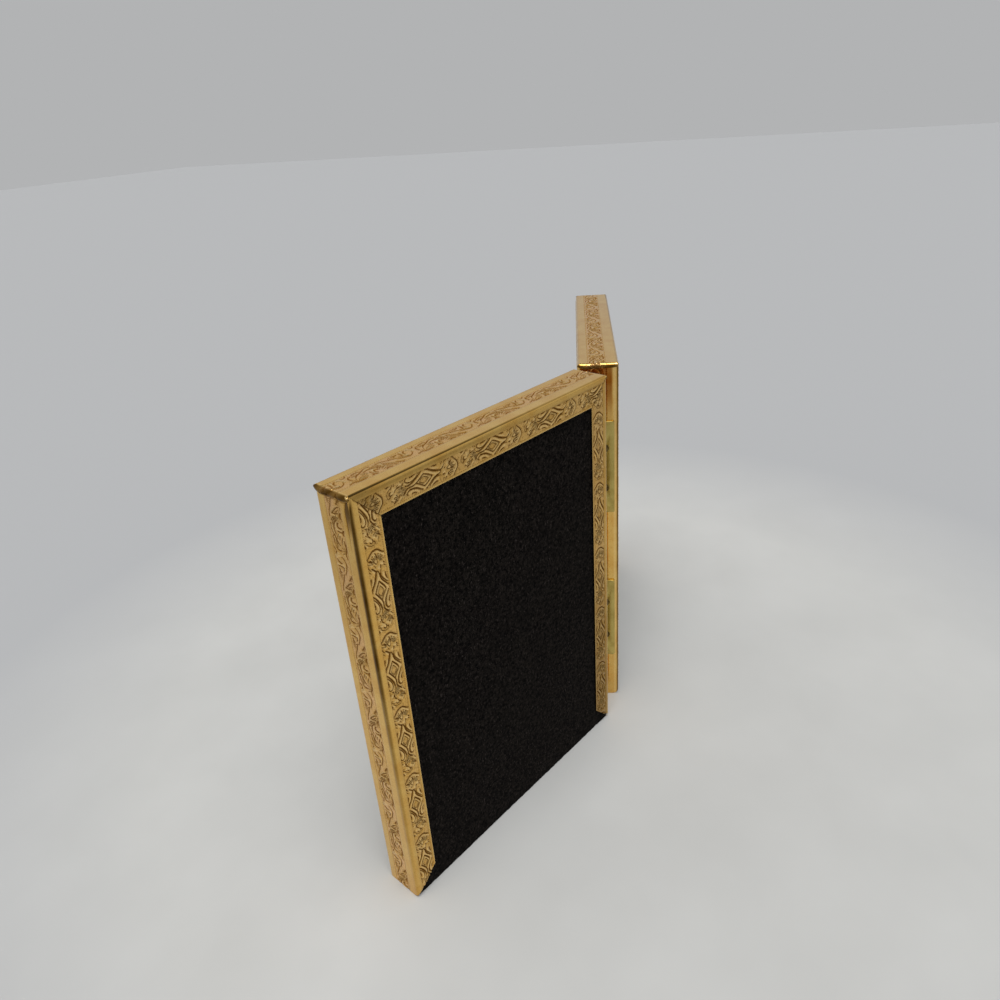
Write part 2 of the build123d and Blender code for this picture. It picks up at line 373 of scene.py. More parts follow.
LOZENGE_PITCH = 33.8
LOZENGE_EDGES = (2.6, 10.6)
LOZENGE_GROOVES = [
    (0.55, (-13.9, 2.9), (-14.4, 3.7), (-15.2, 4.5), (-15.9, 5.4), (-16.1, 6.4), (-16.1, 7.3), (-15.7, 8.0),
     (-15.0, 8.7), (-14.4, 9.4), (-13.9, 10.2)),
    (0.5, (-14.1, 2.9), (-13.5, 3.0)),
    (0.4, (-13.0, 3.4), (-12.8, 4.2), (-12.2, 4.7)),
    (0.35, (-12.1, 2.9), (-11.9, 3.3)),
    (0.35, (-11.4, 2.9), (-10.6, 3.1), (-9.9, 3.4), (-9.4, 3.8)),
    (0.3, (-9.0, 3.1), (-8.2, 3.7)),
    (0.5, (-9.9, 4.2), (-9.2, 4.9), (-8.5, 5.5), (-7.9, 5.9)),
    (0.7, (-8.1, 5.9), (-7.0, 5.6), (-6.0, 5.3), (-5.0, 4.9), (-4.0, 4.4), (-3.0, 3.8), (-2.2, 3.3),
     (-1.0, 2.9)),
    (0.55, (-8.1, 6.1), (-8.0, 6.5), (-7.3, 6.8), (-6.4, 7.1), (-5.2, 7.3), (-4.2, 7.7), (-3.2, 8.4),
     (-2.4, 9.0), (-1.6, 9.6), (-1.2, 10.1)),
    (0.4, (-8.0, 7.8), (-7.0, 7.6), (-5.9, 7.6), (-4.9, 8.0), (-4.0, 8.6), (-3.2, 9.2), (-2.6, 9.7)),
    (0.55, (-4.1, 6.3), (-3.0, 7.1), (-2.0, 7.8), (-1.0, 8.4), (-0.1, 8.7)),
    (0.5, (-0.2, 8.7), (0.6, 8.1), (1.4, 7.5), (2.2, 7.0), (3.5, 6.4)),
    (0.55, (3.6, 6.5), (2.6, 5.9), (1.7, 5.4), (0.8, 4.8), (-0.1, 4.2)),
    (0.45, (-4.1, 6.3), (-3.2, 5.8), (-2.2, 5.2), (-1.2, 4.7), (-0.1, 4.2)),
    (0.28, (-2.4, 6.4), (-1.2, 5.7), (-0.1, 5.1)), (0.28, (-0.1, 5.1), (1.0, 5.7), (1.9, 6.4)),
    (0.28, (1.9, 6.4), (0.9, 7.1), (-0.1, 7.7)), (0.28, (-0.1, 7.7), (-1.3, 7.1), (-2.4, 6.4)),
    (0.55, (0.6, 2.9), (1.4, 3.6), (2.2, 4.1), (3.2, 4.7), (4.2, 5.2), (5.2, 5.6), (6.2, 5.8), (7.2, 5.8),
     (8.1, 5.5)),
    (0.42, (1.6, 2.9), (2.4, 3.4), (3.4, 4.1), (4.4, 4.6), (5.4, 4.9), (6.3, 4.9), (7.2, 4.6), (7.8, 4.1),
     (7.9, 3.6), (7.5, 3.2), (6.9, 3.0)),
    (0.45, (2.9, 2.9), (3.8, 3.0), (4.8, 3.3), (5.6, 3.3), (5.7, 2.9)),
    (0.45, (-6.3, 3.3), (-5.3, 3.2), (-4.4, 3.0), (-3.7, 2.8)),
    (0.45, (-6.3, 9.4), (-5.4, 9.5), (-4.4, 9.7), (-3.7, 9.9)),
    (0.6, (0.6, 9.7), (1.4, 9.3), (2.3, 8.7), (3.2, 8.2), (4.2, 7.9), (5.3, 7.7), (6.4, 7.8), (7.1, 8.1),
     (7.5, 8.5), (7.5, 9.0), (7.1, 9.3)),
    (0.4, (3.3, 9.8), (4.0, 9.5), (4.9, 9.3), (5.5, 9.5)),
    (0.5, (3.5, 6.4), (4.6, 6.7), (5.6, 6.7), (6.6, 6.7), (7.3, 7.0), (8.0, 7.5), (8.6, 8.0), (9.2, 8.4)),
    (0.4, (10.3, 7.7), (10.8, 8.2), (11.0, 8.8)),
    (0.3, (9.9, 6.5), (10.5, 6.7), (11.1, 6.9)),
    (0.3, (9.7, 9.2), (10.3, 9.5), (10.8, 9.9)),
    (0.4, (12.2, 8.8), (12.7, 9.4), (13.3, 9.7)),
    (0.3, (13.6, 9.0), (14.3, 8.5)), (0.3, (12.4, 7.6), (13.0, 7.9)),
    (0.3, (8.6, 3.0), (9.0, 3.5)), (0.3, (9.5, 3.0), (9.9, 3.5)), (0.3, (8.6, 4.1), (9.1, 4.5)),
    (0.3, (11.0, 3.9), (11.4, 4.2)), (0.3, (10.5, 4.6), (11.3, 4.8)), (0.28, (9.0, 5.6), (9.8, 5.4)),
    (0.4, (11.8, 4.8), (12.3, 5.4), (12.8, 5.8)),
    (0.35, (12.6, 3.2), (12.7, 3.7)), (0.35, (13.2, 2.9), (13.5, 3.5), (14.0, 4.2)),
    (0.4, (14.4, 2.9), (15.2, 3.2), (15.9, 3.2)),
    (0.45, (13.3, 6.2), (14.1, 6.5), (14.7, 6.2), (14.7, 5.6), (14.2, 5.2)),
    (0.45, (14.3, 6.7), (14.7, 7.3), (15.4, 7.4)),
    (0.28, (15.6, 7.1), (15.8, 6.2), (15.6, 5.2), (15.0, 4.4), (14.3, 3.8)),
    (0.35, (-12.6, 5.3), (-11.8, 5.6), (-11.1, 6.0), (-10.9, 6.4), (-11.5, 6.8), (-12.3, 6.9)),
    (0.3, (-15.0, 6.1), (-14.6, 6.6), (-14.0, 6.8), (-13.0, 6.9)),
    (0.4, (-14.3, 5.1), (-14.2, 5.3)), (0.4, (-13.4, 5.0), (-13.2, 5.1)), (0.45, (-13.4, 7.7),
     (-13.3, 7.9)),
    (0.35, (-14.4, 7.6), (-14.3, 7.8)), (0.4, (-13.8, 8.4), (-13.6, 8.6)), (0.3, (-12.7, 8.6),
     (-12.8, 9.2)),
    (0.4, (-11.6, 8.2), (-11.5, 8.9)), (0.35, (-10.3, 5.5), (-9.7, 5.9)),
    (0.4, (-9.9, 7.9), (-9.4, 8.1), (-8.8, 7.7)),
    (0.4, (-10.6, 9.3), (-9.9, 9.8)), (0.35, (-9.4, 9.3), (-8.9, 9.8)), (0.35, (-12.1, 9.4), (-11.9, 9.6)),
]
LOZENGE_RIDGES = [
    (0.5, (-14.2, 4.0), (-15.0, 5.0), (-15.5, 5.8), (-15.5, 6.8), (-15.2, 7.6), (-14.5, 8.3), (-13.9, 9.0),
     (-13.3, 9.8)),
    (0.4, (-13.3, 4.6), (-12.5, 5.0), (-11.5, 5.5), (-10.6, 6.2)),
    (0.4, (-9.6, 3.9), (-8.8, 4.5), (-8.0, 5.1)), (0.35, (-9.7, 5.1), (-8.9, 5.6)),
    (0.5, (-7.6, 6.2), (-6.8, 6.4), (-6.0, 6.3), (-5.0, 5.8), (-3.8, 5.2), (-2.8, 4.6), (-1.8, 4.1),
     (-0.8, 3.7)),
    (0.5, (-5.6, 6.6), (-4.2, 7.1), (-3.2, 7.8), (-2.2, 8.5), (-1.2, 9.1), (-0.1, 9.4)),
    (0.5, (0.3, 3.8), (1.5, 4.6), (2.5, 5.2), (3.5, 5.7), (4.5, 6.0), (5.5, 6.2), (6.7, 6.3)),
    (0.5, (0.0, 9.2), (1.0, 8.6), (2.0, 8.0), (3.0, 7.4), (4.0, 7.1), (5.4, 7.2)),
    (0.4, (-3.2, 6.4), (-2.2, 7.0), (-1.2, 7.7), (-0.1, 8.2)), (0.4, (-0.1, 8.2), (1.0, 7.6), (2.6, 6.5)),
    (0.4, (2.8, 6.4), (1.2, 5.4), (-0.1, 4.7)), (0.4, (-3.2, 6.3), (-1.6, 5.4), (-0.1, 4.7)),
    (0.5, (2.2, 3.0), (3.2, 3.6), (4.2, 4.0), (5.2, 4.3), (6.2, 4.3), (7.0, 4.0), (7.1, 3.5)),
    (0.4, (-6.3, 4.2), (-5.4, 4.1), (-4.6, 3.8), (-3.8, 3.5)),
    (0.45, (-6.8, 8.3), (-5.8, 8.4), (-4.8, 8.7), (-3.8, 9.2), (-3.0, 9.9)),
    (0.45, (2.5, 9.4), (3.5, 8.8), (4.5, 8.5), (5.5, 8.3), (6.5, 8.5), (6.9, 8.9)),
    (0.4, (6.8, 7.3), (7.8, 8.0), (8.8, 8.7), (9.8, 8.8), (10.6, 9.2), (11.2, 9.9)),
    (0.35, (6.3, 5.3), (7.2, 5.2), (7.9, 4.8), (8.3, 4.2)),
    (0.35, (11.6, 7.3), (12.3, 7.8)), (0.35, (11.2, 8.2), (11.7, 8.9), (12.2, 9.6)),
    (0.5, (13.0, 5.3), (13.6, 5.8), (14.1, 5.8)), (0.35, (12.0, 4.4), (12.8, 5.2)),
    (0.35, (14.4, 3.3), (15.3, 3.9)), (0.3, (9.0, 6.3), (10.0, 6.1), (11.0, 6.3)),
]

SCROLL_PITCH = 29.2
SCROLL_EDGES = (4.4, 12.9)
SCROLL_GROOVES = [
    (0.35, (-4.7, 8.4), (-3.5, 7.8), (-2, 7.3), (-0.6, 6.7), (0.9, 6.1), (2.8, 5.9)),
    (0.35, (-2, 11.3), (-1.2, 10), (-0.1, 8.8), (1.1, 7.5)),
    (0.35, (0.5, 10.9), (0.9, 9.8), (1.2, 8.6), (1.3, 7.5)),
    (0.25, (-0.8, 11.1), (0.1, 10), (0.5, 9.2)),
    (0.6, (0.3, 12), (1.3, 11.5), (2.2, 11.7)),
    (0.3, (2.4, 10.5), (2.3, 9.2), (2.6, 8), (3.3, 6.9), (4.2, 6.3)),
    (0.3, (2.9, 9.8), (3, 8.8), (3.5, 7.8), (4.4, 6.9), (5.7, 6.6)),
    (0.45, (3.5, 9.2), (4, 8.4), (4.9, 7.6), (6.1, 7.2), (7.6, 7.2), (9, 7.6)),
    (0.5, (4.4, 9.8), (5, 9.3), (5.7, 9.2), (6.2, 9.8), (6.3, 10.7), (6, 11.5)),
    (0.4, (7.6, 9), (7.7, 10), (7.6, 11.1)),
    (0.6, (6.7, 12.2), (7.6, 11.6), (8.4, 11.9)),
    (0.45, (5.3, 5.7), (6.9, 5.6), (8.2, 5.9), (9.4, 6.6), (10.5, 7.1), (11.7, 7.6), (12.8, 8.5),
     (13.2, 9)),
    (0.3, (9.7, 6.3), (10.7, 5.5)),
    (0.4, (11.1, 5.9), (12.4, 5.9), (13.2, 6.2)),
    (0.25, (11.5, 6.9), (12.6, 8)), (0.25, (12.2, 6.7), (13.2, 8)), (0.25, (13, 6.7), (13.8, 7.8)),
    (0.25, (13.6, 6.3), (14.3, 7.3)),
    (0.45, (14.5, 6.5), (15.2, 7.5), (15.3, 8.6), (15.1, 9.3)),
    (0.3, (8.6, 9), (9.9, 8.4), (10.7, 8.1)), (0.3, (9.2, 9.8), (9.9, 9.4), (10.8, 9.2)),
    (0.4, (9.7, 11.1), (10.7, 10.6), (11.9, 10.2), (12.7, 10.5)),
    (0.45, (10.7, 11.7), (11.9, 11.9), (13.2, 12), (14.7, 11.8), (15.7, 11.3), (16.7, 11.5), (17.6, 11.8)),
    (0.4, (14.7, 4.6), (15, 5.2), (15.6, 5.8)), (0.4, (16.1, 6), (17.1, 5.6)),
    (0.4, (17.8, 8.4), (18.2, 9.2), (19.2, 10), (20.5, 10.4), (21.9, 10), (23.2, 9.6), (24.6, 9)),
    (0.45, (19.2, 5.5), (20.1, 6.3), (20.5, 7.1), (20.4, 8.1)),
    (0.4, (21.9, 5.7), (21.8, 6.9), (22, 8.2), (22.5, 8.7), (23.5, 8.1)),
    (0.5, (23.1, 5.9), (23.3, 6)), (0.5, (24.1, 6.2), (24.3, 6.4)),
    (0.45, (24, 11.9), (24.9, 11.7), (25.7, 11.1), (26.5, 10.4)),
]
SCROLL_RIDGES = [
    (0.3, (-2.4, 11.1), (-1.4, 9.7), (-0.1, 8.3), (1.5, 7)),
    (0.35, (-0.3, 11.5), (0.7, 10.8), (1.4, 9), (1.8, 7.2)),
    (0.3, (2, 11.1), (1.8, 9.6), (2.2, 8.2), (3, 6.9), (4.1, 6)),
    (0.3, (2.7, 10.9), (2.6, 9.2), (3, 8.2), (3.9, 7.1), (5.3, 6.5)),
    (0.45, (4, 9.9), (4.4, 9), (5.3, 8.5), (6.2, 8.8), (6.8, 9.4), (6.9, 10.5), (6.5, 11.7)),
    (0.3, (3.2, 9.5), (3.7, 8.4), (4.4, 7.6), (5.7, 7), (7.4, 6.8), (8.7, 7.2)),
    (0.3, (5.5, 6.3), (6.9, 6.1), (8.2, 6.5), (9.2, 7.1)),
    (0.35, (8.3, 11.3), (8.5, 10), (9.2, 9.2), (10.4, 8.8)),
    (0.35, (9.9, 11.7), (10.5, 11.1), (11.7, 10.8), (12.7, 11)),
    (0.35, (17.1, 8.8), (17.4, 7.3), (18.1, 6.1), (19, 5.7)),
    (0.4, (20.9, 5.5), (21.1, 6.7), (21, 8), (20.5, 8.9)),
    (0.3, (19.9, 9.6), (21.5, 9.4), (23.1, 8.9)),
    (0.3, (16.3, 7.8), (16.6, 6.9), (17.4, 5.9), (18.4, 5)),
    (0.3, (10.7, 6.7), (11.9, 7.2), (13.1, 8.3), (13.7, 9.2)),
    (0.3, (15.9, 9.6), (16.3, 10.7), (17.4, 11.1)),
]

# The rolled relief in millimetres: on the front, on the wall and on the back
groove_depths = (0.40, 0.28, 0.40)
ridge_heights = (0.27, 0.16, 0.27)
band_tones = (0.25, 0.6, 0.25)

# A groove that crosses a ridge cuts most of it away, and stain fills all but the shallowest part of a groove
ridge_cut = 0.6
stain_gain = 2.5
stain_loss = 0.4
edge_fades = (0.5, 0.4)

# How the strokes are drawn: each is widest in its middle and thin at both ends
raster = 0.05
stroke_reach = 1.5
stroke_edge = 0.6
thin_end = 0.55
taper_span = (0.12, 0.88)
hatch_width = 0.24
hatch_stagger = 0.35
bead_width = 0.34
bead_length = 0.3
bead_spacing = 0.9
echo_width = 0.26


def smoothed(points, spacing=0.1):
    """A smooth line through the points, as close places on it."""
    p = np.array(points, float)
    p = np.concatenate([[2 * p[0] - p[1]], p, [2 * p[-1] - p[-2]]])
    line = []
    for a, b, c, d in zip(p, p[1:], p[2:], p[3:]):
        t = np.linspace(0, 1, max(2, int(np.linalg.norm(c - b) / spacing)), endpoint=False)[:, None]
        line.append(((-t ** 3 + 2 * t ** 2 - t) * a + (3 * t ** 3 - 5 * t ** 2 + 2) * b
                     + (-3 * t ** 3 + 4 * t ** 2 + t) * c + (t ** 3 - t ** 2) * d) / 2)
    return np.concatenate(line + [p[-2:-1]])


def echoed(strokes, gap):
    """Thinner lines that run along both sides of the strokes, as a die engraver cuts them."""
    lines = []
    for _, *points in strokes:
        path = np.array(points)
        way = np.gradient(path, axis=0)
        side = np.stack([-way[:, 1], way[:, 0]], 1) / np.linalg.norm(way, axis=1)[:, None]
        lines += [(echo_width, *map(tuple, path + side * gap * sign)) for sign in (-1, 1)]
    return lines


def fan(middle, near, far, start, end, count, width=hatch_width):
    """Straight fine lines that spread from a middle, as a palm leaf's do; angles in degrees."""
    lines = []
    for k, angle in enumerate(np.radians(np.linspace(start, end, count))):
        way = np.array([np.cos(angle), np.sin(angle)])
        reach = (near, (near + far) / 2, far - hatch_stagger * (k % 2))
        lines.append((width, *(tuple(np.array(middle) + way * r) for r in reach)))
    return lines


def bolder(strokes, times):
    """The same strokes, so many times as wide."""
    return [(width * times, *points) for width, *points in strokes]


def beaded(pitch, rows):
    """Rows of small dots along the pattern's edges."""
    count = round(pitch / bead_spacing)
    return [(bead_width, (k * pitch / count, u), (k * pitch / count + bead_length, u + bead_length / 5))
            for u in rows for k in range(count)]


def drawn(strokes, pitch, edges):
    """The strokes over one repeat of the pattern, on a fine raster: 1 on a middle line and 0 away from it."""
    along = np.arange(0, pitch, raster)
    across = np.arange(edges[0], edges[1] + raster, raster)
    field = np.zeros((len(along), len(across)))
    for width, *points in strokes:
        path = smoothed(points)
        reach = stroke_reach * width
        taper = thin_end + (1 - thin_end) * np.sin(np.pi * np.linspace(*taper_span, len(path)))
        for shift in (-pitch, 0, pitch):
            v, u = path[:, 0] + shift, path[:, 1]
            i = slice(*np.searchsorted(along, (v.min() - reach, v.max() + reach)))
            j = slice(*np.searchsorted(across, (u.min() - reach, u.max() + reach)))
            if i.start < i.stop and j.start < j.stop:
                gap = np.hypot(along[i, None, None] - v, across[None, j, None] - u) / (width * taper)
                field[i, j] = np.maximum(field[i, j], np.exp(-(gap.min(-1) / stroke_edge) ** 2))
    return field


def sampled(field, pitch, edges, v, u):
    """Reads the repeating raster between its points."""
    a = (v % pitch) / raster
    b = np.clip((u - edges[0]) / raster, 0, field.shape[1] - 1.001)
    i, j = a.astype(int) % field.shape[0], b.astype(int)
    k, fa, fb = (i + 1) % field.shape[0], a % 1, b % 1
    return ((field[i, j] * (1 - fb) + field[i, j + 1] * fb) * (1 - fa)
            + (field[k, j] * (1 - fb) + field[k, j + 1] * fb) * fa)


def engraved(grooves, ridges, pitch, edges, bead_rows, echo_gap, echo_share):
    """The pattern's grooves and ridges, each as one field, with its echo lines and beaded edges."""
    cut = drawn(grooves + beaded(pitch, bead_rows), pitch, edges)
    raised = drawn(ridges, pitch, edges)
    echo = drawn(echoed(grooves, echo_gap), pitch, edges) * echo_share
    cut = np.maximum(cut, echo * (1 - raised) * (1 - np.clip(2 * cut, 0, 1)))
    return cut, raised, pitch, edges


# Leaves that fan out between the lozenges: fine cut lines, with raised petals between them
LOZENGE_FANS = (fan((-10.9, 6.4), 1.7, 3.5, 112, 250, 12) + fan((6.0, 4.4), 2.9, 5.8, 6, 58, 8)
                + fan((10.6, 8.9), 0.9, 2.6, -50, 20, 5))
LOZENGE_PETALS = (fan((-10.9, 6.4), 1.8, 3.4, 118.3, 243.7, 11, width=0.34)
                  + fan((6.0, 4.4), 3.0, 5.6, 9.7, 54.3, 7, width=0.34)
                  + fan((10.6, 8.9), 1.0, 2.5, -41.2, 11.2, 4, width=0.36))
# Rounded lobes of those leaves
LOZENGE_LOBES = [
    (1.1, (-12.4, 6.1), (-11.5, 6.2)), (0.9, (-14.0, 7.5), (-13.5, 8.3)), (0.9, (-10.7, 8.1), (-10.1, 8.7)),
    (0.9, (-12.2, 3.9), (-11.2, 4.4)), (0.8, (-14.6, 5.9), (-14.0, 5.8)), (0.8, (-9.6, 6.9), (-9.0, 7.1)),
    (0.9, (9.4, 6.9), (10.2, 7.3)), (0.8, (9.9, 3.7), (10.8, 4.0)), (0.9, (11.5, 8.5), (12.2, 9.1)),
    (1.0, (13.6, 5.9), (14.2, 5.8)), (0.9, (12.3, 6.8), (13.0, 7.2)), (0.8, (13.2, 8.4), (13.9, 8.1)),
    (0.8, (9.2, 5.0), (9.9, 5.0)), (0.7, (13.3, 4.1), (13.0, 4.7)),
]
SCROLL_FANS = (fan((7.4, 12.9), 3.9, 7.6, 190, 232, 5) + fan((14.6, 12.6), 1.2, 3.4, 205, 300, 5)
               + fan((26.0, 4.8), 1.0, 3.2, 60, 150, 5) + fan((26.6, 12.9), 1.0, 2.8, 200, 330, 5))

PATTERNS = {
    "lozenge": engraved(
        LOZENGE_GROOVES + LOZENGE_FANS, bolder(LOZENGE_RIDGES, 1.25) + LOZENGE_PETALS + LOZENGE_LOBES,
        LOZENGE_PITCH, LOZENGE_EDGES, bead_rows=(2.85, 10.25), echo_gap=0.62, echo_share=0.35),
    "scroll": engraved(
        bolder(SCROLL_GROOVES, 1.25) + SCROLL_FANS, bolder(SCROLL_RIDGES, 1.15),
        SCROLL_PITCH, SCROLL_EDGES, bead_rows=(4.7, 12.7), echo_gap=0.85, echo_share=0.3),
}

# The strip in section. Each column of its grid is on the front, on the wall, on the back or on a bend.
ON_FRONT, ON_WALL, ON_BACK, ON_BEND = range(4)
fine = 0.27
coarse = 0.8
flange_fine = fine * 1.1
wall_bend_fine = 0.32
lip_fine = 0.3
stripe_front = 14.3
front_shift = 0.9
grid_weld = 0.004
no_area = 1e-12


def straight(start, end, step):
    """Places from start to end, about a step apart."""
    count = max(1, round(abs(end - start) / step))
    return np.linspace(start, end, count + 1)


def section(back):
    """The strip's outer face as columns of x, y, outward x, outward y, zone and place across the pattern."""
    columns = []

    def face(xs, ys, outward, zone, u):
        for x, y, q in zip(*np.broadcast_arrays(xs, ys, u)):
            columns.append((x, y, *outward, zone, q))

    def corner(cx, cy, radius, start, end, count):
        for angle in np.radians(np.linspace(start, end, count + 1))[1:-1]:
            across, backward = np.cos(angle), np.sin(angle)
            columns.append((cx + radius * across, cy + radius * backward, across, backward, ON_BEND, 0))

    face(front_width, straight(lip_depth, lip_radius, coarse), (1, 0), ON_BEND, 0)
    corner(front_width - lip_radius, lip_radius, lip_radius, 0, -90, 6)
    low, high = (edge - front_shift for edge in LOZENGE_EDGES)
    xs = np.concatenate([
        straight(front_width - lip_radius, high, coarse)[:-1], straight(high, low, flange_fine)[:-1],
        straight(low, front_radius, coarse),
    ])
    face(xs, 0, (0, -1), ON_FRONT, xs + front_shift)
    corner(front_radius, front_radius, front_radius, 270, 180, 7)
    end = leaf_depth - back_radius if back else floor_depth
    low, high = SCROLL_EDGES
    ys = [straight(front_radius, low, coarse)[:-1], straight(low, high, fine)[:-1]]
    if back:
        ys += [straight(high, stripe_front, coarse)[:-1], straight(stripe_front, end, wall_bend_fine)]
    else:
        ys += [straight(high, end, coarse)]
    ys = np.concatenate(ys)
    face(0, ys, (-1, 0), ON_WALL, ys)
    if back:
        corner(back_radius, end, back_radius, 180, 90, 9)
        low, high = LOZENGE_EDGES
        xs = np.concatenate([
            straight(back_radius, low, coarse)[:-1], straight(low, high, fine)[:-1],
            straight(high, back_width, lip_fine),
        ])
        face(xs, leaf_depth, (0, 1), ON_BACK, xs)
    return np.array(columns)


# The top rail's tabs: the wall's sheet runs on over the end in a bend and down the side rail's wall.
# The bend's radius changes from the front to the back, because the tab was pressed by hand. The tab is a
# little wider than the wall. Each tab has painted light: a highlight on its bend and painted shade below,
# which on the one at the hinge starts further down than on the outer one.
tab_start = 0.7
tab_turn = 2.1
tab_places = (1.5, 2.6, 4.5, 8.0, 12.0, 15.0, 16.6, 17.2)
tab_radii = (1.00, 1.40, 1.65, 1.60, 1.45, 1.45, 1.35, 1.25)
tab_middle = (front_radius + leaf_depth - back_radius) / 2
tab_shaded_from = {-1: 0.9, 1: 0.3}
tab_widening = 0.13
tab_front_widening = 0.05
tab_front_reach = 7
tab_flare = 1.2
dot_place = (0.9, 17.7)
dot_radius = 0.75


def rise(value, start, width):
    """0 up to the start, and then up to 1 over the width."""
    return np.clip((value - start) / width, 0, 1)


def fall(value, end, width):
    """1, and then down to 0 over the width before the end."""
    return np.clip((end - value) / width, 0, 1)


def soft_line(value, middle, width):
    """A soft line: 1 at its middle and 0 away from it."""
    return np.exp(-((value - middle) / width) ** 2)


def laid_strip(name, length, ends, back, tabs):
    """The rail's strip as a flat grid, with each point's place along it (t) and in the section (x, y)."""
    columns = section(back)
    x, y, _, _, zone, _ = columns.T
    rows = round(length / fine)
    step = length / rows
    extra = int(np.ceil((max(tab_radii) * tab_turn - tab_start) / step)) if tabs else 0
    steps = np.arange(-extra, rows + extra + 1) * step
    low, high = ends[0](x), length - ends[1](x)
    if tabs:
        reach = np.interp(y, tab_places, tab_radii) * tab_turn
        low = np.where(zone == ON_WALL, tab_start - reach, low)
        high = np.where(zone == ON_WALL, length - tab_start + reach, high)
    piece, share = flat_grid(name, len(columns) - 1, len(steps) - 1)
    col = np.round(share[:, 0] * (len(columns) - 1)).astype(int)
    row = np.round(share[:, 1] * (len(steps) - 1)).astype(int)
    strip = SimpleNamespace(
        piece=piece, columns=columns, col=col, row=row, rows=rows, extra=extra, steps=steps, length=length,
        low=low[col], high=high[col], t=np.clip(steps[row], low[col], high[col]))
    strip.x, strip.y, strip.out_x, strip.out_y, strip.zone, strip.across = (part[col] for part in columns.T)
    strip.wall = strip.zone == ON_WALL
    strip.height, strip.recess, strip.crest, strip.band, strip.bend, strip.lacquer = np.zeros((6, len(col)))
    return strip


def relief(zone, u, v):
    """Height, stain, crest and band of the places u across and v along the strip, in one zone of it."""
    grooves, ridges, pitch, edges = PATTERNS["scroll" if zone == ON_WALL else "lozenge"]
    groove = sampled(grooves, pitch, edges, v, u)
    ridge = sampled(ridges, pitch, edges, v, u) * (1 - ridge_cut * groove)
    inside = rise(u, edges[0], edge_fades[0]) * fall(u, edges[1], edge_fades[1])
    stain = np.clip(stain_gain * groove - stain_loss, 0, 1)
    height = ridge * ridge_heights[zone] - groove * groove_depths[zone]
    return [part * inside for part in (height, stain, ridge, np.full_like(u, band_tones[zone]))]


# Marks on the outer rail, by the distance down it: the crease that the tab pressed into its wall,
# and a painted dark reflection, a stripe along its back bend
crease_lengths = (0.6, 1.6, 3.8, 6.3, 10.6, 22.0)
crease_places = (17.9, 17.0, 15.7, 15.0, 15.1, 15.2)
crease_width = 0.34
crease_depth = 0.25
crease_fade = 10
stripe_lengths = (0, 2, 5, 10, 25, 190)
stripe_places = (18.3, 17.7, 17.0, 16.6, 16.2, 16.0)
stripe_fade_lengths = (0, 70, 95, 130, 190)
stripe_fades = (1, 1, 0.7, 0.45, 0.12)
stripe_softness = 0.8
# Painted shade beside the crease, laid on both as shade and as stain, and a painted shadow under the tab's
# foot
beside_length = 16
crease_shade_length = 14
beside_fade = 8
tab_foot = 2.95
tab_foot_width = 0.32
tab_foot_span = (2.5, 16.5)

# Painted shade on the top rail's flange, by the depth below its top: a dark line at the crease of its bend,
# the margin and the pattern's border. It grows stronger towards the outer end, a little is laid over the
# whole flange, and its last few millimetres are shaded darker.
flange_crease = 0.3
flange_margin = (0.9, 2.75)
flange_border = 2.5
stronger_from = 45
stronger_over = 40
dusky_from = 126
dusky_over = 7

# Painted light on the hinge rail: an amber reflection of the other leaf's wall above the upper hinge, a
# highlight line beside the back bend, a dark line at the bend, and painted shade on the back flange, darker
# near the foot
amber_edge = 15.9
amber_from = 160
amber_over = 18
highlight_line = (16.0, 17.4)
dark_line = 17.5
hinge_shade_lengths = (0, 60, 110, 190)
hinge_shades = (0.62, 0.50, 0.22, 0.18)

# Both side rails: the back bend is rounded off over the lowest millimetres
foot_rounding = 1.8
foot_reach = 8
foot_front = 15.3
foot_inward = 5
mitre_line = 0.42
bright_edge = 0.25


def back_bend(strip):
    """1 on the wall's side of the back bend and 0 past it."""
    return 1 - rise(strip.x, 0.35, 0.6)


def mark_outer(strip):
    """The outer rail's pressed crease, painted shade beside it, a painted shadow under the tab and a painted
    dark reflection along the back bend.
    """
    t, y, wall = strip.t, strip.y, strip.wall
    crease = np.interp(t, crease_lengths, crease_places)
    pressed = np.where(wall, soft_line(y, crease, crease_width) * fall(t, crease_lengths[-1], crease_fade), 0)
    strip.height -= pressed * crease_depth
    # A painted dark reflection along the back bend, fading down the rail
    stripe = rise(y, np.interp(t, stripe_lengths, stripe_places), stripe_softness) * back_bend(strip)
    stripe = stripe * np.interp(t, stripe_fade_lengths, stripe_fades)
    # Painted shade beside the crease, both as shade and as stain
    beside = wall & (y > crease) & (t < beside_length)
    strip.bend = np.maximum(stripe, np.where(beside, 0.85 * fall(t, beside_length, beside_fade), 0))
    painted_crease_shade = np.where(beside, 0.45 * fall(t, crease_shade_length, beside_fade), 0)
    # A painted shadow under the tab's foot
    under_tab = wall & (y > tab_foot_span[0]) & (y < tab_foot_span[1])
    painted_tab_shadow = np.where(under_tab, 0.7 * soft_line(t, tab_foot, tab_foot_width), 0)
    strip.recess = np.maximum.reduce([strip.recess, pressed, painted_crease_shade, painted_tab_shadow])
    round_foot(strip, foot_first=False)


def mark_top(strip):
    """Painted shade on the top rail's flange: a dark line at its bend's crease, darker margins, the border,
    and a darker outer end.
    """
    x = strip.x
    outer_end = rise(strip.t, stronger_from, stronger_over)
    flange = (strip.zone == ON_BACK) | ((strip.zone == ON_BEND) & (strip.y > leaf_depth - back_radius))
    crease = soft_line(x, flange_crease, 0.14) * (0.25 + 0.75 * outer_end)
    margin = rise(x, flange_margin[0], 0.4) * fall(x, flange_margin[1], 0.2) * (0.15 + 0.3 * outer_end)
    border = soft_line(x, flange_border, 0.2) * 0.6
    dusky = 0.12 + 0.4 * rise(strip.t, dusky_from, dusky_over)
    strip.bend = np.where(flange, np.maximum.reduce([crease, margin, border, dusky]), 0)


